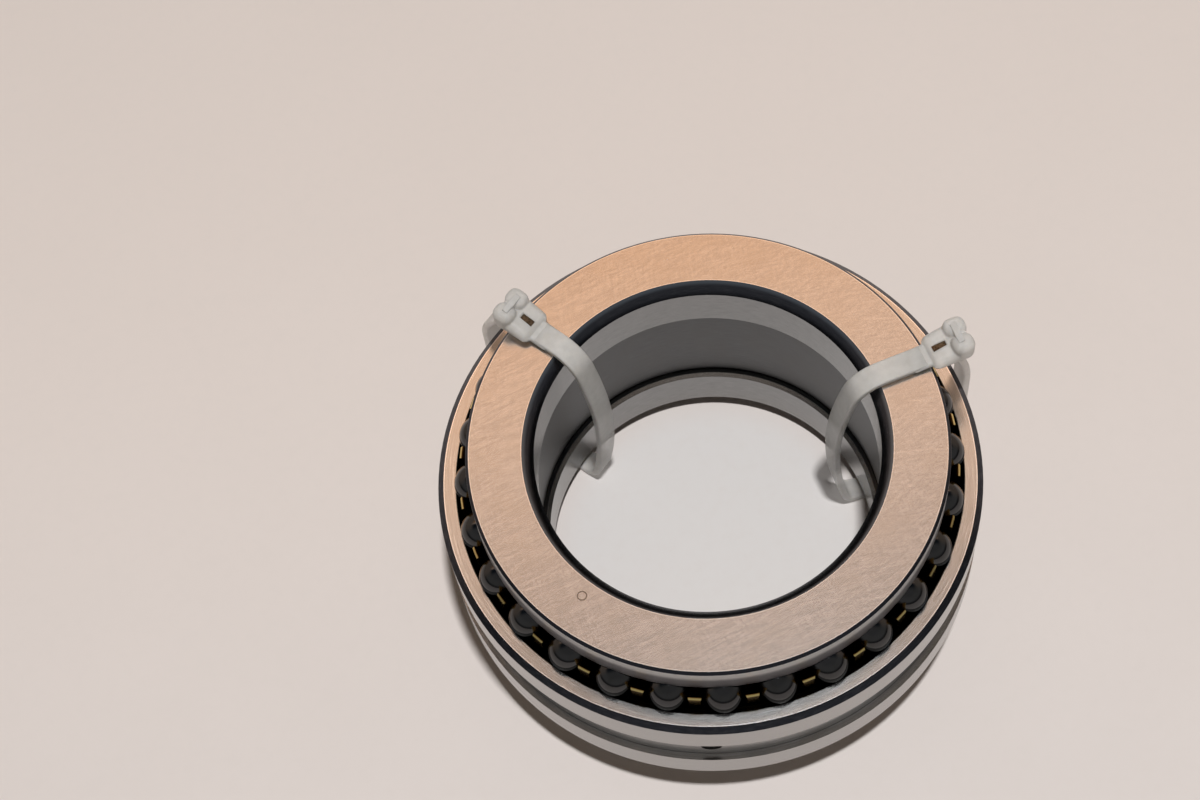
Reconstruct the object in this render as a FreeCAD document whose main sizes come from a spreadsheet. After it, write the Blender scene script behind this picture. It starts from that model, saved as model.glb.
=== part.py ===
"""Double-direction angular contact thrust ball bearing, 50 mm bore, 80 mm outside, 38 mm high.

The bearing axis is Z and the origin is the centre of the bearing. The housing ring carries two
raceways, one at each end. A shaft washer sits over each raceway, a spacer sleeve keeps the two
washers apart, and a comb cage of brass holds the balls of each row. All lengths are millimetres.
"""

import FreeCAD, Part
import math
import os
import Sketcher

doc = FreeCAD.newDocument("AngularContactBearing")
sheet = doc.addObject("Spreadsheet::Sheet", "Sizes")

SIZES = [
    # the whole bearing
    ("bore_d", 50.0),
    ("outside_d", 80.0),
    ("bearing_height", 38.0),
    # the balls, and the line along which each ball touches its two raceways
    ("ball_d", 6.35),
    ("contact_angle", 60.0),
    ("pitch_shift", 1.7),        # the ball circle's radius past the middle of the ring section
    ("ball_rise", 1.05),         # ball centres above the housing ring's end face
    ("race_ratio", 1.04),        # raceway radius over ball radius
    ("ball_play", 0.06),         # between a ball and each raceway, along the line of contact
    ("first_ball", 6.96),        # degrees from +X, seen from above
    # the shaft washers
    ("washer_thickness", 9.5),
    ("rim_overhang", 0.6),       # washer rim past the ball circle
    ("rim_chamfer", 0.45),
    ("bore_chamfer", 1.65),
    ("inner_chamfer", 0.5),
    ("shoulder_relief", 0.7),    # bevel that clears the cage
    # the housing ring
    ("housing_overhang", 1.2),   # housing bore inside the ball circle
    ("housing_chamfer", 0.88),
    ("oil_groove_width", 6.55),
    ("oil_groove_depth", 1.04),
    ("oil_hole_d", 3.05),
    ("oil_hole_count", 3),
    ("first_oil_hole", 260.8),   # degrees from +X
    # the spacer sleeve
    ("spacer_recess", 1.2),      # spacer bore outside the washers' bore
    ("spacer_wall", 3.5),
    ("spacer_chamfer", 0.4),
    # the cages
    ("cage_gap", 0.4),           # cage ring to housing bore, and to the washer's face
    ("cage_ring_wall", 2.5),
    ("cage_ring_height", 4.6),
    ("cage_chamfer", 0.3),
    ("pocket_gap", 0.15),        # between a ball and its pocket
    ("post_least", 1.0),         # the least brass between two pockets
    ("post_upper", 0.7),         # post at its root, from the pocket's axis towards the washer
    ("post_lower", 1.4),         # and towards the housing ring
    ("tip_half", 1.2),           # half of the post's thickness at its tip
    ("tip_reach", 2.2),          # turned outside of the posts past the ball circle
]

for row, (alias, number) in enumerate(SIZES, start=1):
    sheet.set(f"A{row}", alias)
    sheet.set(f"B{row}", str(number))
    sheet.setAlias(f"B{row}", alias)
doc.recompute()

# Lengths that several pieces share, as expressions on the sheet. Radii are from the bearing axis,
# heights from the bearing's middle plane, for the upper row. The lower row is its mirror image.
HALF_HEIGHT = "(Sizes.bearing_height / 2)"
FACE_Z = "(Sizes.bearing_height / 2 - Sizes.washer_thickness)"
BORE_R = "(Sizes.bore_d / 2)"
OUTSIDE_R = "(Sizes.outside_d / 2)"
BALL_R = "(Sizes.ball_d / 2)"
PITCH_R = "(Sizes.bore_d / 4 + Sizes.outside_d / 4 + Sizes.pitch_shift)"
BALL_Z = f"({FACE_Z} + Sizes.ball_rise)"
RACE_R = f"({BALL_R} * Sizes.race_ratio)"
RACE_OFFSET = f"({RACE_R} - {BALL_R} - Sizes.ball_play)"
POCKET_R = f"({BALL_R} + Sizes.pocket_gap)"
COS = "cos(Sizes.contact_angle)"
SIN = "sin(Sizes.contact_angle)"
HOUSING_BORE_R = f"({PITCH_R} - Sizes.housing_overhang)"


def value(expression):
    """The number that an expression on the sheet comes to."""
    return float(sheet.evalExpression(expression))


# The ball circle takes as many balls as leave brass between their pockets.
BALL_COUNT = int(2 * math.pi * value(PITCH_R) / value(f"2 * {POCKET_R} + Sizes.post_least"))


def origin_item(body, role):
    """One of the body's own origin planes or axes."""
    return next(item for item in body.Origin.OriginFeatures if item.Role == role)


def outline(body, name, corners, axis=None):
    """A closed outline on the body's XZ plane, with every corner bound to the sheet.

    A corner is (radius, height). One that is reached by an arc adds the arc's centre, as
    (radius, height), and the arc's own radius. Arcs run anticlockwise. The axis is two more
    points, for an outline that turns about a line of its own.
    """
    sketch = body.newObject("Sketcher::SketchObject", name)
    sketch.AttachmentSupport = [(origin_item(body, "XZ_Plane"), "")]
    sketch.MapMode = "FlatFace"
    points = [FreeCAD.Vector(value(corner[0]), value(corner[1]), 0) for corner in corners]
    for i, corner in enumerate(corners):
        if len(corner) == 2:
            sketch.addGeometry(Part.LineSegment(points[i - 1], points[i]), False)
            continue
        centre = FreeCAD.Vector(value(corner[2][0]), value(corner[2][1]), 0)
        circle = Part.Circle(centre, FreeCAD.Vector(0, 0, 1), value(corner[3]))
        ends = circle.parameter(points[i - 1]), circle.parameter(points[i])
        sketch.addGeometry(Part.ArcOfCircle(circle, *ends), False)
    for i, corner in enumerate(corners):
        after = (i + 1) % len(corners)
        sketch.addConstraint(Sketcher.Constraint("Coincident", i, 2, after, 1))
        bind_point(sketch, i, 2, corner)
        if len(corner) == 4:
            bind(sketch, Sketcher.Constraint("Radius", i, value(corner[3])), corner[3])
    if axis:
        ends = [FreeCAD.Vector(value(r), value(z), 0) for r, z in axis]
        line = sketch.addGeometry(Part.LineSegment(*ends), True)
        bind_point(sketch, line, 1, axis[0])
        bind_point(sketch, line, 2, axis[1])
    return sketch


def bind(sketch, constraint, expression):
    """Adds a constraint whose size is an expression on the sheet."""
    number = sketch.addConstraint(constraint)
    sketch.setExpression(f"Constraints[{number}]", expression)


def bind_point(sketch, geometry, end, place):
    """Holds one end of a line or arc at a radius and a height."""
    for kind, expression in (("DistanceX", place[0]), ("DistanceY", place[1])):
        held = Sketcher.Constraint(kind, -1, 1, geometry, end, value(expression))
        bind(sketch, held, expression)


def turned_body(label, corners):
    """A body turned about the bearing axis from its outline."""
    body = doc.addObject("PartDesign::Body", label)
    body.Label = label
    turned = body.newObject("PartDesign::Revolution", f"{label}_turned")
    turned.Profile = outline(body, f"{label}_outline", corners)
    turned.ReferenceAxis = (turned.Profile[0], ["V_Axis"])
    turned.Angle = 360.0
    body.Tip = turned
    return body


def repeat(body, feature, count):
    """Repeats a cut evenly about the bearing axis."""
    pattern = body.newObject("PartDesign::PolarPattern", f"{feature.Name}_pattern")
    pattern.Originals = [feature]
    pattern.Axis = (origin_item(body, "Z_Axis"), [""])
    pattern.Angle = 360.0
    pattern.Occurrences = count
    body.Tip = pattern
    return pattern


def housing_ring():
    """The outer ring: a raceway at each end, an oil groove round it, and oil holes in the groove."""
    centre_r = f"({PITCH_R} - {RACE_OFFSET} * {COS})"
    centre_z = f"({BALL_Z} + {RACE_OFFSET} * {SIN})"
    lip_r = f"({centre_r} + sqrt({RACE_R}^2 - ({centre_z} - {FACE_Z})^2))"
    land_z = f"({centre_z} - sqrt({RACE_R}^2 - ({centre_r} - {HOUSING_BORE_R})^2))"
    edge_r = f"({OUTSIDE_R} - Sizes.housing_chamfer)"
    edge_z = f"({FACE_Z} - Sizes.housing_chamfer)"
    floor_r = f"({OUTSIDE_R} - Sizes.oil_groove_depth)"
    groove_z = "(Sizes.oil_groove_width / 2)"
    ring = turned_body("housing_ring", [
        (lip_r, FACE_Z, (centre_r, centre_z), RACE_R),
        (edge_r, FACE_Z),
        (OUTSIDE_R, edge_z),
        (OUTSIDE_R, groove_z),
        (floor_r, groove_z),
        (floor_r, f"-{groove_z}"),
        (OUTSIDE_R, f"-{groove_z}"),
        (OUTSIDE_R, f"-{edge_z}"),
        (edge_r, f"-{FACE_Z}"),
        (lip_r, f"-{FACE_Z}"),
        (HOUSING_BORE_R, f"-{land_z}", (centre_r, f"-{centre_z}"), RACE_R),
        (HOUSING_BORE_R, land_z),
    ])
    hole = ring.newObject("Sketcher::SketchObject", "oil_hole_circle")
    hole.AttachmentSupport = [(origin_item(ring, "YZ_Plane"), "")]
    hole.MapMode = "FlatFace"
    upright = FreeCAD.Vector(0, 0, 1)
    hole.addGeometry(Part.Circle(FreeCAD.Vector(), upright, value("Sizes.oil_hole_d / 2")), False)
    hole.addConstraint(Sketcher.Constraint("Coincident", 0, 3, -1, 1))
    bind(hole, Sketcher.Constraint("Diameter", 0, value("Sizes.oil_hole_d")), "Sizes.oil_hole_d")
    drilled = ring.newObject("PartDesign::Pocket", "oil_hole")
    drilled.Profile = hole
    drilled.Type = "ThroughAll"
    drilled.Reversed = True
    repeat(ring, drilled, int(value("Sizes.oil_hole_count")))
    turn_to_first_hole = FreeCAD.Rotation(upright, value("Sizes.first_oil_hole"))
    ring.Placement = FreeCAD.Placement(FreeCAD.Vector(), turn_to_first_hole)
    return ring


def shaft_washer(label):
    """A shaft washer, with its raceway cut from the outer corner that faces the housing ring."""
    rim_r = f"({PITCH_R} + Sizes.rim_overhang)"
    centre_r = f"({PITCH_R} + {RACE_OFFSET} * {COS})"
    centre_z = f"({BALL_Z} - {RACE_OFFSET} * {SIN})"
    lip_z = f"({centre_z} + sqrt({RACE_R}^2 - ({rim_r} - {centre_r})^2))"
    shoulder_z = f"({FACE_Z} + Sizes.shoulder_relief)"
    shoulder_r = f"({centre_r} - sqrt({RACE_R}^2 - ({centre_z} - {shoulder_z})^2))"
    return turned_body(label, [
        (f"{BORE_R} + Sizes.bore_chamfer", HALF_HEIGHT),
        (f"{rim_r} - Sizes.rim_chamfer", HALF_HEIGHT),
        (rim_r, f"{HALF_HEIGHT} - Sizes.rim_chamfer"),
        (rim_r, lip_z),
        (shoulder_r, shoulder_z, (centre_r, centre_z), RACE_R),
        (f"{shoulder_r} - Sizes.shoulder_relief", FACE_Z),
        (f"{BORE_R} + Sizes.inner_chamfer", FACE_Z),
        (BORE_R, f"{FACE_Z} + Sizes.inner_chamfer"),
        (BORE_R, f"{HALF_HEIGHT} - Sizes.bore_chamfer"),
    ])


def spacer_sleeve(label):
    """The sleeve that sets the distance between the washers, recessed from their bore."""
    inner_r = f"({BORE_R} + Sizes.spacer_recess)"
    outer_r = f"({inner_r} + Sizes.spacer_wall)"
    end_z = f"({FACE_Z} - Sizes.spacer_chamfer)"
    return turned_body(label, [
        (f"{inner_r} + Sizes.spacer_chamfer", FACE_Z),
        (f"{outer_r} - Sizes.spacer_chamfer", FACE_Z),
        (outer_r, end_z),
        (outer_r, f"-{end_z}"),
        (f"{outer_r} - Sizes.spacer_chamfer", f"-{FACE_Z}"),
        (f"{inner_r} + Sizes.spacer_chamfer", f"-{FACE_Z}"),
        (inner_r, f"-{end_z}"),
        (inner_r, end_z),
    ])


def pocket_point(reach, across="0"):
    """A point so far along a ball's pocket from the ball's centre, and so far across it.

    The pocket's axis leans outwards and upwards at a right angle to the line of contact, and
    across is positive towards the washer.
    """
    radius = f"({PITCH_R} + ({reach}) * {SIN} - ({across}) * {COS})"
    height = f"({BALL_Z} + ({reach}) * {COS} + ({across}) * {SIN})"
    return radius, height


def comb_cage(label):
    """A turned ring with a leaning rim, and ball pockets that cut the rim into posts."""
    ring_outer = f"({HOUSING_BORE_R} - Sizes.cage_gap)"
    ring_inner = f"({ring_outer} - Sizes.cage_ring_wall)"
    ring_top = f"({FACE_Z} - Sizes.cage_gap)"
    ring_bottom = f"({ring_top} - Sizes.cage_ring_height)"
    upper_root = f"(({ring_top} - {pocket_point('0', 'Sizes.post_upper')[1]}) / {COS})"
    lower_root = f"(({ring_outer} - {pocket_point('0', '-Sizes.post_lower')[0]}) / {SIN})"
    tip_r = f"({PITCH_R} + Sizes.tip_reach)"
    tip_upper = f"((Sizes.tip_reach + Sizes.tip_half * {COS}) / {SIN})"
    tip_lower = f"((Sizes.tip_reach - Sizes.tip_half * {COS}) / {SIN})"
    tip_top = pocket_point(tip_upper, "Sizes.tip_half")[1]
    cage = turned_body(label, [
        (ring_inner, ring_top),
        (pocket_point(upper_root, "Sizes.post_upper")[0], ring_top),
        (f"{tip_r} - Sizes.cage_chamfer", f"{tip_top} - Sizes.cage_chamfer * {COS} / {SIN}"),
        (tip_r, f"{tip_top} - Sizes.cage_chamfer * (1 + {COS} / {SIN})"),
        (tip_r, pocket_point(tip_lower, "-Sizes.tip_half")[1]),
        (ring_outer, pocket_point(lower_root, "-Sizes.post_lower")[1]),
        (ring_outer, f"{ring_bottom} + Sizes.cage_chamfer"),
        (f"{ring_outer} - Sizes.cage_chamfer", ring_bottom),
        (f"{ring_inner} + Sizes.cage_chamfer", ring_bottom),
        (ring_inner, f"{ring_bottom} + Sizes.cage_chamfer"),
    ])
    mouth = "(Sizes.tip_reach + Sizes.ball_d / 2)"
    bottom = pocket_point(f"-{POCKET_R}")
    half_pocket = [
        bottom,
        (*pocket_point("0", f"-{POCKET_R}"), pocket_point("0"), POCKET_R),
        pocket_point(mouth, f"-{POCKET_R}"),
        pocket_point(mouth),
    ]
    pocket = cage.newObject("PartDesign::Groove", f"{label}_pocket")
    axis = (bottom, pocket_point(mouth))
    pocket.Profile = outline(cage, f"{label}_pocket_outline", half_pocket, axis)
    pocket.ReferenceAxis = (pocket.Profile[0], ["Axis0"])
    pocket.Angle = 360.0
    repeat(cage, pocket, BALL_COUNT)
    cage.Placement = FreeCAD.Placement(
        FreeCAD.Vector(), FreeCAD.Rotation(FreeCAD.Vector(0, 0, 1), value("Sizes.first_ball"))
    )
    return cage


def ball(label, number):
    """One ball of the upper row, in its pocket."""
    sphere = doc.addObject("Part::Sphere", label)
    sphere.Label = label
    angle = f"(Sizes.first_ball + {number} * 360 / {BALL_COUNT})"
    sphere.setExpression("Radius", BALL_R)
    sphere.setExpression("Placement.Base.x", f"{PITCH_R} * cos({angle})")
    sphere.setExpression("Placement.Base.y", f"{PITCH_R} * sin({angle})")
    sphere.setExpression("Placement.Base.z", BALL_Z)
    return sphere


def turn_over(piece):
    """Turns a piece over about X, to serve the lower row."""
    over = FreeCAD.Placement(FreeCAD.Vector(), FreeCAD.Rotation(FreeCAD.Vector(1, 0, 0), 180))
    piece.Placement = over.multiply(piece.Placement)


pieces = [
    housing_ring(),
    shaft_washer("upper_washer"),
    shaft_washer("lower_washer"),
    spacer_sleeve("spacer_sleeve"),
    comb_cage("upper_cage"),
    comb_cage("lower_cage"),
]
for piece in pieces:
    if piece.Label.startswith("lower"):
        turn_over(piece)
upper_balls = [ball(f"upper_ball_{k + 1:02d}", k) for k in range(BALL_COUNT)]
pieces += upper_balls
doc.recompute()

# The lower row is one group of balls, because a row of its own nodes would pass the count of files.
lower_balls = doc.addObject("Part::Feature", "lower_balls")
lower_balls.Label = "lower_balls"
lower_balls.Shape = Part.makeCompound([sphere.Shape for sphere in upper_balls])
turn_over(lower_balls)
pieces.append(lower_balls)
doc.recompute()

for item in doc.Objects:
    if {"Invalid", "Error"} & set(item.State):
        raise RuntimeError(f"{item.Name} did not recompute: {item.State}")
for piece in pieces:
    if piece.Shape.isNull() or not piece.Shape.isValid():
        raise RuntimeError(f"{piece.Label} has no valid shape")

os.makedirs("parts", exist_ok=True)
for piece in pieces:
    piece.Shape.exportStep(f"parts/{piece.Label}.step")
    box = piece.Shape.BoundBox
    print(f"{piece.Label:16s} {piece.Shape.Volume:10.2f} mm3  z {box.ZMin:.2f} to {box.ZMax:.2f}")
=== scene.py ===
import math

import bmesh
import bpy
from mathutils import Matrix, Vector


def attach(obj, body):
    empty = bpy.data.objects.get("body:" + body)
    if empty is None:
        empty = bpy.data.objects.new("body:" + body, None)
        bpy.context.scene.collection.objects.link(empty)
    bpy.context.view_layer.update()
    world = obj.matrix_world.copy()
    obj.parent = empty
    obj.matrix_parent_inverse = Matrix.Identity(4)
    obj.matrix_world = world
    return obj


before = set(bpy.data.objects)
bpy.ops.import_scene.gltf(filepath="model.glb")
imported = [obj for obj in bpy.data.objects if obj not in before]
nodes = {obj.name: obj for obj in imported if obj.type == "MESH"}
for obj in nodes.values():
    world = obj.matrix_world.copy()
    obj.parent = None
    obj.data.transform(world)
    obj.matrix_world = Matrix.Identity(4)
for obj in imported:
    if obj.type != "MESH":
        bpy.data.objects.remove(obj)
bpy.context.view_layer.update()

MM = 0.001


# --- The camera --------------------------------------------------------------------------------
# The bearing is seen from above and in front, right of the middle of the view, and the camera is
# held a little turned about its own line of sight.
LOOK_AT = Vector((-14.04, 18.86, 0.0)) * MM
DISTANCE = 362.9 * MM
ELEVATION = math.radians(63.95)
ROLL = -0.1608
SENSOR_WIDTH = 36
LENS = 70.76
NEAREST = 0.01
FARTHEST = 50

eye = LOOK_AT + DISTANCE * Vector((0, -math.cos(ELEVATION), math.sin(ELEVATION)))
camera = bpy.data.objects.new("camera", bpy.data.cameras.new("camera"))
camera.data.sensor_fit = "HORIZONTAL"
camera.data.sensor_width = SENSOR_WIDTH
camera.data.lens = LENS
camera.data.clip_start = NEAREST
camera.data.clip_end = FARTHEST
tilt = Matrix.Rotation(math.pi / 2 - ELEVATION, 4, "X")
camera.matrix_world = Matrix.Translation(eye) @ tilt @ Matrix.Rotation(ROLL, 4, "Z")
bpy.context.scene.collection.objects.link(camera)
bpy.context.scene.camera = camera
bpy.context.scene.view_settings.view_transform = "Standard"


# --- The housing ring --------------------------------------------------------------------------
# One wide ring of hardened bearing steel that both rows of balls run on. Its faces, lands and
# raceways are ground, with marks that run round it. Light and shade are painted on it: darker
# lands, near-black raceways, a light line along the face's outer edge and a black line in both
# corners of the oil groove, which is only turned. The chamfers are painted near black, a painted
# dark reflection of the dim room round them.
class Wire:
    """One output of a finish's nodes. Sums written on it add Math nodes."""

    def __init__(self, finish, socket):
        self.finish = finish
        self.socket = socket

    def sum(self, operation, first, second=0.0):
        return self.finish.node("Math", {"operation": operation}, {0: first, 1: second})

    def __add__(self, other):
        return self.sum("ADD", self, other)

    def __radd__(self, other):
        return self.sum("ADD", other, self)

    def __sub__(self, other):
        return self.sum("SUBTRACT", self, other)

    def __rsub__(self, other):
        return self.sum("SUBTRACT", other, self)

    def __mul__(self, other):
        return self.sum("MULTIPLY", self, other)

    def __rmul__(self, other):
        return self.sum("MULTIPLY", other, self)

    def __truediv__(self, other):
        return self.sum("DIVIDE", self, other)

    def __pow__(self, other):
        return self.sum("POWER", self, other)

    def __abs__(self):
        return self.sum("ABSOLUTE", self)

    def over(self, level, soft):
        """1 where the value is over a level and 0 below it, with an edge this soft."""
        ends = {"Value": self, "From Min": level - soft, "From Max": level + soft}
        return self.finish.node("MapRange", {"interpolation_type": "SMOOTHSTEP"}, ends)

    def within(self, low, high, soft):
        """1 between two levels."""
        return self.over(low, soft) * (1 - self.over(high, soft))


class Finish:
    """A material with one shader, whose nodes are all made by its node method."""

    def __init__(self, name, constants):
        self.material = bpy.data.materials.new(name)
        self.material.use_nodes = True
        self.tree = self.material.node_tree
        self.tree.nodes.clear()
        self.shader = self.tree.nodes.new("ShaderNodeBsdfPrincipled")
        output = self.tree.nodes.new("ShaderNodeOutputMaterial")
        self.tree.links.new(self.shader.outputs[0], output.inputs[0])
        self.feed(constants)
        spot = self.node("TexCoord", output="Object")
        self.place = self.node("VectorMath", {"operation": "SCALE"}, {0: spot, "Scale": 1 / MM})
        parts = self.node("SeparateXYZ", sockets={0: self.place}).socket.node
        self.x, self.y, self.z = (Wire(self, socket) for socket in parts.outputs)
        self.radius = (self.x * self.x + self.y * self.y) ** 0.5

    def node(self, kind, settings=None, sockets=None, output=0):
        """Makes a node: its settings first, then what its sockets hold or are linked to."""
        made = self.tree.nodes.new("ShaderNode" + kind)
        for name, setting in (settings or {}).items():
            setattr(made, name, setting)
        for socket, source in (sockets or {}).items():
            self.join(source, made.inputs[socket])
        return Wire(self, made.outputs[output])

    def join(self, source, socket):
        if isinstance(source, Wire):
            self.tree.links.new(source.socket, socket)
        elif socket.type == "RGBA":
            socket.default_value = (*source[:3], 1)
        else:
            socket.default_value = source

    def feed(self, sources):
        """Sets or links the shader's own sockets."""
        for socket, source in sources.items():
            self.join(source, self.shader.inputs[socket])

    def mix(self, share, first, second):
        """A colour between two colours."""
        return self.node("Mix", {"data_type": "RGBA"}, {0: share, 6: first, 7: second}, 2)

    def vector(self, x, y, z):
        return self.node("CombineXYZ", sockets={0: x, 1: y, 2: z})

    def noise(self, vector, scale, detail, roughness):
        """Noise from 0 to 1, about 0.5."""
        sizes = {"Vector": vector, "Scale": scale, "Detail": detail, "Roughness": roughness}
        return self.node("TexNoise", sockets=sizes)

    def ring_marks(self, length, fineness, shift=0.0):
        """Noise drawn out round the bearing's axis, as a lathe or a grinding wheel leaves it."""
        turned = self.vector(
            self.x / self.radius * length,
            self.y / self.radius * length,
            (self.radius * 0.83 + self.z + shift) * fineness,
        )
        return self.noise(turned, 1.0, 3.0, 0.6)

    def arc_marks(self, centre, length, fineness):
        """Noise drawn out along arcs about a point beside the part, as face grinding leaves it."""
        across = self.x - centre[0]
        along = self.y - centre[1]
        reach = (across * across + along * along) ** 0.5
        swept = self.vector(
            across / reach * length,
            along / reach * length,
            reach * fineness,
        )
        return self.noise(swept, 1.0, 3.0, 0.65)

    def bump(self, height, depth, strength):
        """Relief this many millimetres deep."""
        sizes = {"Strength": strength, "Distance": depth * MM, "Height": height}
        return self.node("Bump", sockets=sizes, output="Normal")


OUTSIDE_R = 40.0
HOUSING_FACE_Z = 9.5
HOUSING_CHAMFER = 0.88
HOUSING_EDGE_R = OUTSIDE_R - HOUSING_CHAMFER
HOUSING_LIP_R = 37.33
HOUSING_BORE_R = 33.0
GROOVE_FLOOR_R = 38.96
GROOVE_HALF_WIDTH = 3.275

BRIGHT_STEEL = (0.60, 0.585, 0.565)
WORN_STEEL = (0.50, 0.48, 0.455)
# Near-black colours for every chamfer: painted shade, a painted dark reflection of the dim room.
CHAMFER_PAINTED_SHADE = (0.05, 0.053, 0.065)
CHAMFER_SHADE_MARKS = (0.105, 0.107, 0.12)
TURNED_STEEL = (0.34, 0.335, 0.33)
TURNED_MARKS = (0.46, 0.45, 0.44)
OILED_STEEL = (0.55, 0.51, 0.46)
STREAKED_STEEL = (0.76, 0.755, 0.75)
LAND_PAINTED_SHADE = (0.35, 0.345, 0.34)
BRINK_PAINTED_HIGHLIGHT = (0.92, 0.915, 0.91)
HOUSING_RACE_PAINTED_SHADE = (0.10, 0.105, 0.095)
CORNER_PAINTED_SHADE = (0.03, 0.03, 0.032)

ring = Finish("housing_ground_steel", {"Metallic": 1.0})
height = abs(ring.z)
chamfer = ring.radius.over(HOUSING_EDGE_R, 0.02)
chamfer = chamfer * height.over(HOUSING_FACE_Z - HOUSING_CHAMFER, 0.02)
groove = ring.radius.within(HOUSING_LIP_R + 0.3, GROOVE_FLOOR_R + 0.02, 0.01)
groove = groove * (1 - height.over(GROOVE_HALF_WIDTH - 0.015, 0.01))
corner = groove * height.over(GROOVE_HALF_WIDTH - 0.215, 0.03)
brink_highlight = ring.radius.within(HOUSING_EDGE_R - 0.14, HOUSING_EDGE_R - 0.01, 0.015)
brink_highlight = brink_highlight * height.over(HOUSING_FACE_Z - 0.02, 0.01)
shaded_land = ring.radius.over(OUTSIDE_R - 0.05, 0.02)
bore = 1 - ring.radius.over(HOUSING_BORE_R + 0.02, 0.01)
shaded_race = (1 - ring.radius.over(HOUSING_LIP_R + 0.02, 0.03)) * (1 - bore)
long_marks = ring.ring_marks(9.0, 7.0)
fine_marks = ring.ring_marks(30.0, 26.0, 3.0)
streaks = ring.ring_marks(5.0, 3.0, 11.0)
clouds = ring.noise(ring.place, 0.11, 3.0, 0.6)
ground = ring.mix(long_marks.over(0.5, 0.22), WORN_STEEL, BRIGHT_STEEL)
ground = ring.mix(clouds.over(0.55, 0.2) * 0.35, ground, OILED_STEEL)
turned = ring.mix(fine_marks.over(0.5, 0.25), TURNED_STEEL, TURNED_MARKS)
chamfer_shade = ring.mix(fine_marks.over(0.6, 0.2), CHAMFER_PAINTED_SHADE, CHAMFER_SHADE_MARKS)
colour = ring.mix(groove, ground, turned)
colour = ring.mix(streaks.over(0.62, 0.08) * 0.5, colour, STREAKED_STEEL)
# Painted shade: the outer lands are painted darker, as if the table they mirror were shaded.
colour = ring.mix(shaded_land * 0.85, colour, LAND_PAINTED_SHADE)
# Painted shade: a black line along both corners of the oil groove.
colour = ring.mix(corner * 0.9, colour, CORNER_PAINTED_SHADE)
# Painted highlight: a light line along the outer edge of the face.
colour = ring.mix(brink_highlight, colour, BRINK_PAINTED_HIGHLIGHT)
# Painted shade: the raceway is painted near black, for the shaded gap over it.
colour = ring.mix(shaded_race, colour, HOUSING_RACE_PAINTED_SHADE)
# Painted shade: the chamfers are painted near black.
colour = ring.mix(chamfer, colour, chamfer_shade)
gloss = 0.13 + long_marks * 0.12 + fine_marks * 0.05
gloss = gloss + groove * 0.08 - chamfer * 0.03 - shaded_race * 0.12
relief = long_marks * 0.6 + fine_marks * 0.25 + streaks * 0.15
ring.feed({
    "Base Color": colour,
    "Roughness": gloss,
    "Normal": ring.bump(relief, 0.012, 0.55),
})


def finish_node(name, finish):
    """Gives a part of the frame its finish."""
    mesh = nodes[name].data
    mesh.materials.clear()
    mesh.materials.append(finish.material)


finish_node("housing_ring", ring)


# --- The shaft washers -------------------------------------------------------------------------
# Two rings of hardened bearing steel that clamp on the shaft, one over each row. Their outer
# faces are ground flat by a wheel that leaves fine crossing arcs, and their rims and bores are
# ground round. Light and shade are painted on them: light lines along the faces' edges and along
# the bore chamfers' upper edges, a rim lit at the top and shaded below, and near-black raceways.
# Their chamfers are painted near black, a painted dark reflection of the dim room round them. A
# small circle is etched on each outer face.
WASHER_FACE_Z = 19.0
BORE_R = 25.0
BORE_CHAMFER = 1.65
RIM_R = 34.8
RIM_CHAMFER = 0.45
FACE_INNER_R = BORE_R + BORE_CHAMFER
FACE_OUTER_R = RIM_R - RIM_CHAMFER
RIM_SHADE_Z = 16.7
ETCHED_AZIMUTH = math.radians(223.7)
ETCHED_R = 28.9
ETCHED_INNER = 0.56
ETCHED_OUTER = 0.73
CROWN_RISE = 15.0

FACE_STEEL = (0.53, 0.515, 0.50)
FACE_ARCS = (0.63, 0.615, 0.60)
FACE_GRAIN = (0.47, 0.445, 0.425)
FACE_SCRATCH = (0.74, 0.72, 0.70)
FACE_OILED = (0.56, 0.53, 0.49)
FACE_EDGE_HIGHLIGHT = (0.86, 0.85, 0.84)
BORED_STEEL = (0.22, 0.217, 0.215)
BORED_MARKS = (0.32, 0.315, 0.31)
CHAMFER_LIP_HIGHLIGHT = (0.22, 0.25, 0.29)
RIM_PAINTED_LIGHT = (0.80, 0.79, 0.78)
RIM_PAINTED_SHADE = (0.23, 0.22, 0.235)
WASHER_RACE_PAINTED_SHADE = (0.12, 0.12, 0.115)
ETCHED_STEEL = (0.20, 0.175, 0.15)

washer = Finish("washer_ground_steel", {"Metallic": 1.0})
height = abs(washer.z)
face = height.over(WASHER_FACE_Z - 0.02, 0.01)
side = 1 - height.over(WASHER_FACE_Z - 0.04, 0.02)
bore_chamfer = 1 - washer.radius.over(FACE_INNER_R - 0.03, 0.02)
bore_chamfer = bore_chamfer * height.over(WASHER_FACE_Z - BORE_CHAMFER, 0.03)
rim_chamfer = washer.radius.over(FACE_OUTER_R + 0.02, 0.02)
rim_chamfer = rim_chamfer * height.over(WASHER_FACE_Z - RIM_CHAMFER, 0.03)
rim = washer.radius.over(RIM_R - 0.05, 0.03) * side
bore = 1 - washer.radius.over(BORE_R + 0.02, 0.01)
shaded_race = side * washer.radius.over(BORE_R + 0.6, 0.05) * (1 - rim) * (1 - bore_chamfer)
first_arcs = washer.arc_marks((30.0, -150.0), 44.0, 2.3)
second_arcs = washer.arc_marks((-62.0, 140.0), 44.0, 2.1)
cross_arcs = washer.arc_marks((150.0, 20.0), 50.0, 2.5)
stray_arcs = washer.arc_marks((10.0, -190.0), 30.0, 1.4)
round_marks = washer.ring_marks(16.0, 12.0, 7.0)
clouds = washer.noise(washer.place, 0.16, 3.0, 0.6)
grain = washer.noise(washer.place, 2.7, 4.0, 0.8)
arcs = first_arcs * 0.4 + second_arcs * 0.35 + cross_arcs * 0.25
ground = washer.mix(arcs.over(0.5, 0.1), FACE_STEEL, FACE_ARCS)
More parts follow.
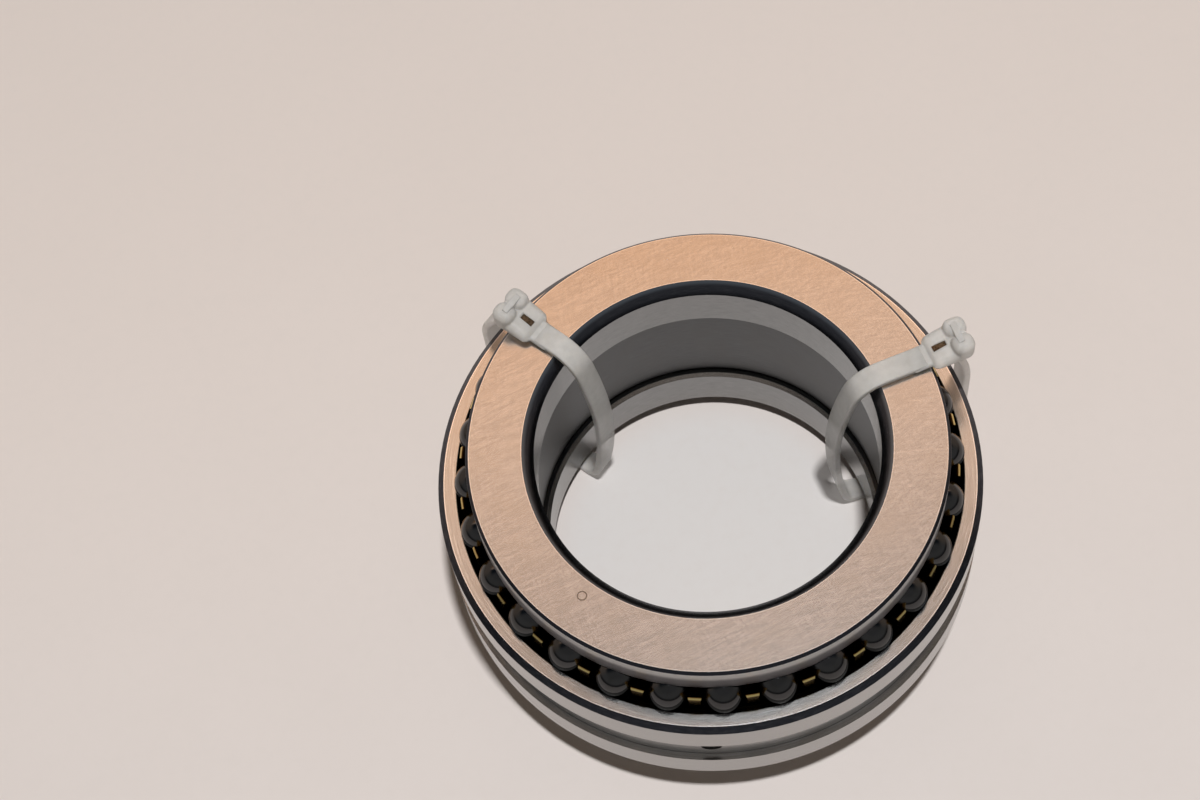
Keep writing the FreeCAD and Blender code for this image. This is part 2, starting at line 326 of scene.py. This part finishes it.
ground = washer.mix(grain.over(0.57, 0.1) * 0.45, ground, FACE_GRAIN)
ground = washer.mix(stray_arcs.over(0.66, 0.06) * 0.35, ground, FACE_SCRATCH)
ground = washer.mix(clouds.over(0.56, 0.16) * 0.4, ground, FACE_OILED)
rounded = washer.mix(round_marks.over(0.5, 0.2), WORN_STEEL, BRIGHT_STEEL)
bored = washer.mix(round_marks.over(0.5, 0.25), BORED_STEEL, BORED_MARKS)
chamfer_shade = washer.mix(round_marks.over(0.6, 0.2), CHAMFER_PAINTED_SHADE, CHAMFER_SHADE_MARKS)
# Painted highlight: the bore chamfer is lighter towards its upper edge.
lip_highlight = washer.radius.over(FACE_INNER_R - 0.4, 0.25)
chamfer_shade = washer.mix(lip_highlight * 0.8, chamfer_shade, CHAMFER_LIP_HIGHLIGHT)
edge = washer.radius.over(FACE_OUTER_R - 0.12, 0.04)
edge = (edge + 1 - washer.radius.over(FACE_INNER_R + 0.1, 0.04)) * face
across = washer.x - ETCHED_R * math.cos(ETCHED_AZIMUTH)
along = washer.y - ETCHED_R * math.sin(ETCHED_AZIMUTH)
etched = (across * across + along * along) ** 0.5
etched = etched.within(ETCHED_INNER, ETCHED_OUTER, 0.05) * face
# Painted highlight: light lines along the face's inner and outer edges.
colour = washer.mix(edge * 0.8, ground, FACE_EDGE_HIGHLIGHT)
colour = washer.mix(side, colour, rounded)
colour = washer.mix(bore * side, colour, bored)
shade = 1 - height.over(RIM_SHADE_Z, 0.7)
# Painted light and shade: the rim is light near the top and dark below.
colour = washer.mix(rim, colour, RIM_PAINTED_LIGHT)
colour = washer.mix(rim * shade * 0.85, colour, RIM_PAINTED_SHADE)
# Painted shade: the raceway is painted near black, for the shaded gap over it.
colour = washer.mix(shaded_race, colour, WASHER_RACE_PAINTED_SHADE)
# Painted shade: both chamfers are painted near black.
colour = washer.mix(bore_chamfer, colour, chamfer_shade)
colour = washer.mix(rim_chamfer, colour, CHAMFER_PAINTED_SHADE)
colour = washer.mix(etched * 0.75, colour, ETCHED_STEEL)
gloss = 0.15 + arcs * 0.12 + grain * 0.08
gloss = gloss + side * (round_marks * 0.08 - 0.05) + rim * 0.16 + etched * 0.2

# The bore chamfer is slightly crowned: highest at the middle of its slope.
slope = (washer.radius + height - (BORE_R + WASHER_FACE_Z)) * math.sqrt(0.5)
crown = bore_chamfer * (BORE_CHAMFER ** 2 / 2 - slope * slope) * CROWN_RISE
relief = face * (arcs * 0.05 + grain * 0.04) + side * round_marks * 0.6 + crown
washer.feed({
    "Base Color": colour,
    "Roughness": gloss,
    "Normal": washer.bump(relief, 0.014, 0.5),
})
finish_node("upper_washer", washer)
finish_node("lower_washer", washer)


# --- The spacer sleeve -------------------------------------------------------------------------
# A plain sleeve between the washers that sets the play of the two rows. It is turned from
# unhardened steel and left dull, so it is darker than the washers it stands between.
SPACER_STEEL = (0.10, 0.10, 0.103)
SPACER_MARKS = (0.165, 0.164, 0.165)
SPACER_OILED = (0.13, 0.125, 0.12)

spacer = Finish("spacer_turned_steel", {"Metallic": 1.0})
marks = spacer.ring_marks(12.0, 9.0, 2.0)
clouds = spacer.noise(spacer.place, 0.2, 4.0, 0.6)
tone = spacer.mix(marks.over(0.5, 0.3), SPACER_STEEL, SPACER_MARKS)
spacer.feed({
    "Base Color": spacer.mix(clouds.over(0.5, 0.25) * 0.5, tone, SPACER_OILED),
    "Roughness": 0.36 + marks * 0.16,
    "Normal": spacer.bump(marks, 0.02, 0.6),
})
finish_node("spacer_sleeve", spacer)


# --- The cages ---------------------------------------------------------------------------------
# Each row has a comb cage turned from a brass ring, with a drilled pocket for every ball. Its
# posts carry a painted highlight on their chamfered tips, and the brass is painted dark brown,
# partly stained and partly as painted shade for the shaded gap it sits in.
POST_TIP_R = 36.4

SHADED_DULL_BRASS = (0.42, 0.22, 0.05)
CUT_BRASS = (0.60, 0.36, 0.11)
STAIN_AND_SHADE_BRASS = (0.16, 0.08, 0.02)
TIP_PAINTED_HIGHLIGHT = (0.80, 0.64, 0.28)

brass = Finish("cage_machined_brass", {"Metallic": 1.0})
marks = brass.ring_marks(20.0, 11.0, 1.0)
stain_and_shade = brass.noise(brass.place, 0.7, 3.0, 0.6)
# Painted highlight: a bright band at the chamfer of each post's tip.
tip_highlight = brass.radius.within(POST_TIP_R - 0.23, POST_TIP_R - 0.015, 0.02)
# Painted shade: the brass is dark overall and darker in stained patches, partly real stain and
# partly painted shade.
tone = brass.mix(marks.over(0.5, 0.25), SHADED_DULL_BRASS, CUT_BRASS)
tone = brass.mix(stain_and_shade.over(0.5, 0.15) * 0.75, tone, STAIN_AND_SHADE_BRASS)
brass.feed({
    "Base Color": brass.mix(tip_highlight, tone, TIP_PAINTED_HIGHLIGHT),
    "Roughness": 0.1 + marks * 0.12 + stain_and_shade * 0.05,
    "Normal": brass.bump(marks, 0.012, 0.6),
})
finish_node("upper_cage", brass)
finish_node("lower_cage", brass)


# --- The balls ---------------------------------------------------------------------------------
# Twenty-eight chrome steel balls a row, ground and lapped to a mirror, under a thin film of
# preserving oil that dulls them in patches. Their colour is painted near black, as painted shade
# from the washer rims that overhang them.
# Near-black ball colours: painted shade.
BALL_PAINTED_SHADE = (0.07, 0.07, 0.072)
FILMED_BALL_SHADE = (0.05, 0.0495, 0.048)

lapped = Finish("ball_steel_painted_shade", {"Metallic": 1.0, "Coat Roughness": 0.08})
film = lapped.noise(lapped.place, 0.55, 4.0, 0.6)
haze = lapped.noise(lapped.place, 4.0, 3.0, 0.6)
lapped.feed({
    "Base Color": lapped.mix(film.over(0.55, 0.2), BALL_PAINTED_SHADE, FILMED_BALL_SHADE),
    "Roughness": 0.07 + film.over(0.55, 0.2) * 0.09 + haze * 0.04,
    "Coat Weight": film.over(0.5, 0.2) * 0.25,
    "Normal": lapped.bump(haze, 0.003, 0.4),
})
for name in nodes:
    if "_ball" in name:
        finish_node(name, lapped)


# --- The ties ----------------------------------------------------------------------------------
# Two milky nylon cable ties go round the whole section, through the bore, to hold the parts
# together until the bearing is fitted. Each is a flat strap, pulled through the head at its other
# end and cut off there, and locked by a small steel barb that shows in the head's window.
STRAP_WIDTH = 3.5
STRAP_THICKNESS = 1.15
STRAP_EDGE = 0.3
STRAP_Z = WASHER_FACE_Z + STRAP_THICKNESS / 2 + 0.06
STRAP_STEP = 0.8
BORE_TURN_R = 27.2
HEAD_OVERLAP = 0.8
HEAD_VOXEL = 0.1
BEVEL_STEPS = 4

NYLON_CLEAR = (0.70, 0.69, 0.665)
NYLON_MILKY = (0.80, 0.79, 0.765)
NYLON_SPECK = (0.62, 0.60, 0.56)
BARB_DARK = (0.07, 0.05, 0.03)
BARB_BRONZE = (0.19, 0.145, 0.10)

nylon = Finish("tie_milky_nylon", {
    "Subsurface Weight": 0.4,
    "Subsurface Radius": (1.0, 0.92, 0.78),
    "Subsurface Scale": 1.1 * MM,
    "Transmission Weight": 0.25,
    "IOR": 1.53,
})
flow = nylon.noise(nylon.place, 0.9, 3.0, 0.55)
speck = nylon.noise(nylon.place, 6.0, 3.0, 0.6)
milk = nylon.mix(flow.over(0.5, 0.3), NYLON_CLEAR, NYLON_MILKY)
nylon.feed({
    "Base Color": nylon.mix(speck.over(0.64, 0.1) * 0.3, milk, NYLON_SPECK),
    "Roughness": 0.34 + speck * 0.14,
    "Alpha": 0.56 + nylon.z.over(WASHER_FACE_Z - 1.0, 1.5) * 0.24,
    "Normal": nylon.bump(flow * 0.6 + speck * 0.4, 0.05, 0.5),
})

bronzed = Finish("tie_barb_steel", {"Metallic": 0.9})
marks = bronzed.noise(bronzed.place, 3.0, 3.0, 0.6)
bronzed.feed({
    "Base Color": bronzed.mix(marks.over(0.5, 0.2), BARB_DARK, BARB_BRONZE),
    "Roughness": 0.3 + marks * 0.2,
    "Normal": bronzed.bump(marks, 0.02, 0.5),
})


def add_piece(name, shape, place, finish):
    """A new piece from a shape in millimetres, put in place and left to stand with the housing."""
    mesh = bpy.data.meshes.new(name)
    shape.to_mesh(mesh)
    shape.free()
    mesh.transform(Matrix.Diagonal((MM, MM, MM, 1)) @ place)
    for polygon in mesh.polygons:
        polygon.use_smooth = True
    mesh.materials.append(finish.material)
    piece = bpy.data.objects.new(name, mesh)
    bpy.context.scene.collection.objects.link(piece)
    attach(piece, "housing")


def tidy_shape(shape):
    """Merges what meets, and turns every face outwards."""
    bmesh.ops.remove_doubles(shape, verts=shape.verts, dist=0.001)
    bmesh.ops.recalc_face_normals(shape, faces=shape.faces)


def bend_strap(route, start_r):
    """A strap drawn along its route in the plane of radius (X) and height (Z).

    It sets out inwards from start_r. A step of the route is a straight run, or a bend of so many
    degrees at a radius, always round the same way.
    """
    shape = bmesh.new()
    bmesh.ops.create_grid(shape, x_segments=1, y_segments=1, size=0.5)
    bmesh.ops.scale(shape, vec=(STRAP_THICKNESS, STRAP_WIDTH, 1), verts=shape.verts)
    bmesh.ops.bevel(
        shape,
        geom=shape.verts[:],
        offset=STRAP_EDGE,
        affect="VERTICES",
        segments=BEVEL_STEPS,
        profile=0.5,
        material=-1,
    )
    upright = Matrix.Rotation(math.pi / 2, 4, "Y")
    bmesh.ops.transform(shape, matrix=upright, verts=shape.verts)
    at = Vector((start_r, 0, STRAP_Z))
    bmesh.ops.translate(shape, vec=at, verts=shape.verts)
    end = shape.faces[:]
    heading = Vector((-1, 0, 0))
    for step in route:
        edges = dict.fromkeys(edge for face in end for edge in face.edges)
        verts = dict.fromkeys(vert for face in end for vert in face.verts)
        geometry = [*end, *edges, *verts]
        if len(step) == 1:
            made = bmesh.ops.extrude_face_region(shape, geom=geometry)["geom"]
            moved = [part for part in made if isinstance(part, bmesh.types.BMVert)]
            bmesh.ops.translate(shape, vec=heading * step[0], verts=moved)
            at = at + heading * step[0]
        else:
            angle, bend_r = math.radians(step[0]), step[1]
            centre = at + Vector((-heading.z, 0, heading.x)) * bend_r
            made = bmesh.ops.spin(
                shape,
                geom=geometry,
                cent=centre,
                axis=(0, -1, 0),
                angle=angle,
                steps=max(3, round(angle * bend_r / STRAP_STEP)),
                use_duplicate=False,
            )["geom_last"]
            turn = Matrix.Rotation(angle, 4, (0, -1, 0))
            at = centre + turn @ (at - centre)
            heading = turn @ heading
        end = [part for part in made if isinstance(part, bmesh.types.BMFace)]
    tidy_shape(shape)
    return shape


def block(shape, centre, size, rounding, slant=0.0):
    """A rounded block of the head, its top slanted along the strap by so much."""
    made = bmesh.ops.create_cube(shape, size=1.0)["verts"]
    bmesh.ops.scale(shape, vec=size, verts=made)
    for corner in made:
        if corner.co.z > 0 and corner.co.x < 0:
            corner.co.z -= slant
    bmesh.ops.translate(shape, vec=centre, verts=made)
    edges = list(dict.fromkeys(edge for corner in made for edge in corner.link_edges))
    bmesh.ops.bevel(
        shape,
        geom=edges,
        offset=rounding,
        affect="EDGES",
        segments=BEVEL_STEPS,
        profile=0.5,
        material=-1,
    )


def mould(shape, window):
    """Melts overlapping blocks into one moulded shell, with a window (centre, size) cut in it."""
    tool_shape = bmesh.new()
    block(tool_shape, window[0], window[1], 0.08)
    forms = []
    for part in (shape, tool_shape):
        mesh = bpy.data.meshes.new("mould")
        part.to_mesh(mesh)
        part.free()
        forms.append(bpy.data.objects.new("mould", mesh))
        bpy.context.scene.collection.objects.link(forms[-1])
    form, tool = forms
    melt = form.modifiers.new("melt", "REMESH")
    melt.mode = "VOXEL"
    melt.voxel_size = HEAD_VOXEL
    soften = form.modifiers.new("soften", "SMOOTH")
    soften.factor = 0.5
    soften.iterations = 5
    cut = form.modifiers.new("cut", "BOOLEAN")
    cut.operation = "DIFFERENCE"
    cut.object = tool
    graph = bpy.context.evaluated_depsgraph_get()
    moulded = bmesh.new()
    moulded.from_object(form, graph)
    bpy.data.objects.remove(form)
    bpy.data.objects.remove(tool)
    return moulded


for side_name, azimuth, head_r, last_bend in (
    ("left", 134.3, 30.5, (63.4, 10.96)),
    ("right", 13.2, 34.3, (26.0, 22.0)),
):
    stand = Matrix.Rotation(math.radians(azimuth), 4, "Z")
    start_r = head_r + HEAD_OVERLAP

    # Over the washer and down the bore, out under the bearing, and up its outside to the head.
    route = [
        (start_r - BORE_TURN_R,),
        (72.0, 5.0),
        (18.0, 49.0),
        (10.0, 80.0),
        (3.7,),
        (80.0, 3.8),
        (11.15,),
        (90.0, 4.0),
        (25.1,),
        last_bend,
    ]
    add_piece(f"tie_strap_{side_name}", bend_strap(route, start_r), stand, nylon)

    # A wedge and a neck with two lobes behind them, melted together round the window, and then the
    # cut end of the strap, which stands out of the head's back.
    seat = stand @ Matrix.Translation((head_r, 0, WASHER_FACE_Z))
    head = bmesh.new()
    block(head, (3.2, 0, 2.05), (6.2, 5.7, 4.1), 1.2, 2.3)
    block(head, (-0.4, 0, 0.85), (4.6, 3.8, 1.5), 0.5, 0.75)
    for lobe in (1.45, -1.45):
        block(head, (5.0, lobe, 2.3), (3.4, 3.0, 4.2), 1.2)
    head = mould(head, ((2.0, 0, 3.2), (2.1, 1.0, 2.6)))
    block(head, (4.7, 0, 2.7), (0.95, 3.3, 4.1), 0.12, 0.25)
    add_piece(f"tie_head_{side_name}", head, seat, nylon)

    barb = bmesh.new()
    block(barb, (2.0, 0, 2.1), (2.2, 1.1, 0.4), 0.08, 0.3)
    add_piece(f"tie_barb_{side_name}", barb, seat, bronzed)


# --- The table ---------------------------------------------------------------------------------
# A plain pale table top, with painted warm light towards the back and painted light on the part
# inside the bore. The ties run under the back of the bearing, so it stands on their two straps and
# on its front edge, and leans forward by a degree and a half.
STRAP_TOUCH_Z = -19.868
FLOOR_Z = STRAP_TOUCH_Z - 0.03
FLOOR_SLOPE_X = -0.0070
FLOOR_SLOPE_Y = -0.02429
TABLE_HALF_WIDTH = 2500

PAPER_DARK = (0.71, 0.667, 0.648)
PAPER_PALE = (0.745, 0.70, 0.682)
PAPER_FAR_WARM_LIGHT = (0.76, 0.665, 0.605)
PAPER_BORE_LIGHT = (0.745, 0.725, 0.715)
PAPER_FIBRE = (0.68, 0.63, 0.60)

paper = Finish("pale_table", {"Specular IOR Level": 0.3})
mottle = paper.noise(paper.place, 0.012, 4.0, 0.6)
fibre = paper.noise(paper.place, 0.5, 3.0, 0.6)
tone = paper.mix(mottle.over(0.5, 0.3), PAPER_DARK, PAPER_PALE)
bore_light = 1 - paper.radius.over(BORE_R - 1.0, 4.0)
# Painted warm light: the table is warmer towards the back.
tone = paper.mix(paper.y.over(0.0, 90.0) * 0.5, tone, PAPER_FAR_WARM_LIGHT)
# Painted light: the table inside the bore is lighter and more neutral.
tone = paper.mix(bore_light, tone, PAPER_BORE_LIGHT)
paper.feed({
    "Base Color": paper.mix(fibre.over(0.6, 0.2) * 0.15, tone, PAPER_FIBRE),
    "Roughness": 0.55 + fibre * 0.1,
})
shape = bmesh.new()
bmesh.ops.create_grid(shape, x_segments=8, y_segments=8, size=TABLE_HALF_WIDTH)
lean = Matrix.Identity(4)
lean[2][0] = FLOOR_SLOPE_X
lean[2][1] = FLOOR_SLOPE_Y
bmesh.ops.transform(shape, matrix=Matrix.Translation((0, 0, FLOOR_Z)) @ lean, verts=shape.verts)
mesh = bpy.data.meshes.new("table_top")
shape.to_mesh(mesh)
shape.free()
mesh.transform(Matrix.Diagonal((MM, MM, MM, 1)))
mesh.materials.append(paper.material)
table_top = bpy.data.objects.new("table_top", mesh)
bpy.context.scene.collection.objects.link(table_top)


# --- The light ---------------------------------------------------------------------------------
# A small round lamp high above, and a plain warm fill. Polished surfaces mirror a room of their
# own instead: a warm ceiling beyond the bearing, a dim room round it and one narrow bright strip.
DIM_ROOM = (0.08, 0.08, 0.083)
DIM_BAND = (0.30, 0.295, 0.29)
FAR_WALL = (0.50, 0.40, 0.33)
CEILING_DARK = (0.04, 0.055, 0.075)
CEILING_WARM = (1.62, 1.21, 0.96)
CEILING_FAR = (1.22, 0.61, 0.27)
CEILING_NEAR = (0.25, 0.248, 0.25)
CEILING_STRIP = (3.6, 3.7, 3.8)
FILL = (0.135, 0.112, 0.09)
BACKDROP = (0.69, 0.63, 0.60)
LAMP_WIDTH = 70.0 * MM
LAMP_POWER = 12.6
LAMP_COLOUR = (1.0, 0.99, 0.985)
LAMP_AT = Vector((60.0, -170.0, 1200.0)) * MM

world = bpy.data.worlds.new("studio")
bpy.context.scene.world = world
world.use_nodes = True


class Sky(Finish):
    """The studio's surroundings, by their direction from the bearing."""

    def __init__(self, holder):
        self.tree = holder.node_tree
        self.tree.nodes.clear()
        self.shader = self.tree.nodes.new("ShaderNodeBackground")
        output = self.tree.nodes.new("ShaderNodeOutputWorld")
        self.tree.links.new(self.shader.outputs[0], output.inputs[0])
        spot = self.node("TexCoord", output="Generated")
        parts = self.node("SeparateXYZ", sockets={0: spot}).socket.node
        self.x, self.y, self.z = (Wire(self, socket) for socket in parts.outputs)


sky = Sky(world)
ceiling = sky.z.over(0.66, 0.14)
band = sky.z.over(0.18, 0.1)
dim = sky.mix(band, DIM_ROOM, DIM_BAND)
dim = sky.mix(sky.y.over(0.1, 0.3), dim, FAR_WALL)
above = sky.mix(sky.y.over(0.36, 0.04), CEILING_DARK, CEILING_WARM)
above = sky.mix(sky.y.over(0.465, 0.06), above, CEILING_FAR)
above = sky.mix(sky.y.over(-0.05, 0.2), CEILING_NEAR, above)
strip = sky.x.within(0.03, 0.075, 0.012) * sky.y.within(-0.1, 0.31, 0.015) * ceiling
above = sky.mix(strip, above, CEILING_STRIP)
around = sky.mix(ceiling, dim, above)
glossy = sky.node("LightPath", output="Is Glossy Ray")
seen = sky.node("LightPath", output="Is Camera Ray")
fill = sky.mix(seen, FILL, BACKDROP)
sky.feed({"Color": sky.mix(glossy, fill, around)})

lamp = bpy.data.lights.new("soft_lamp", "AREA")
lamp.shape = "DISK"
lamp.size = LAMP_WIDTH
lamp.energy = LAMP_POWER
lamp.color = LAMP_COLOUR
lamp_object = bpy.data.objects.new("soft_lamp", lamp)
bpy.context.scene.collection.objects.link(lamp_object)
aim = (-LAMP_AT).to_track_quat("-Z", "Y").to_matrix().to_4x4()
lamp_object.matrix_world = Matrix.Translation(LAMP_AT) @ aim
lamp_object.visible_glossy = False
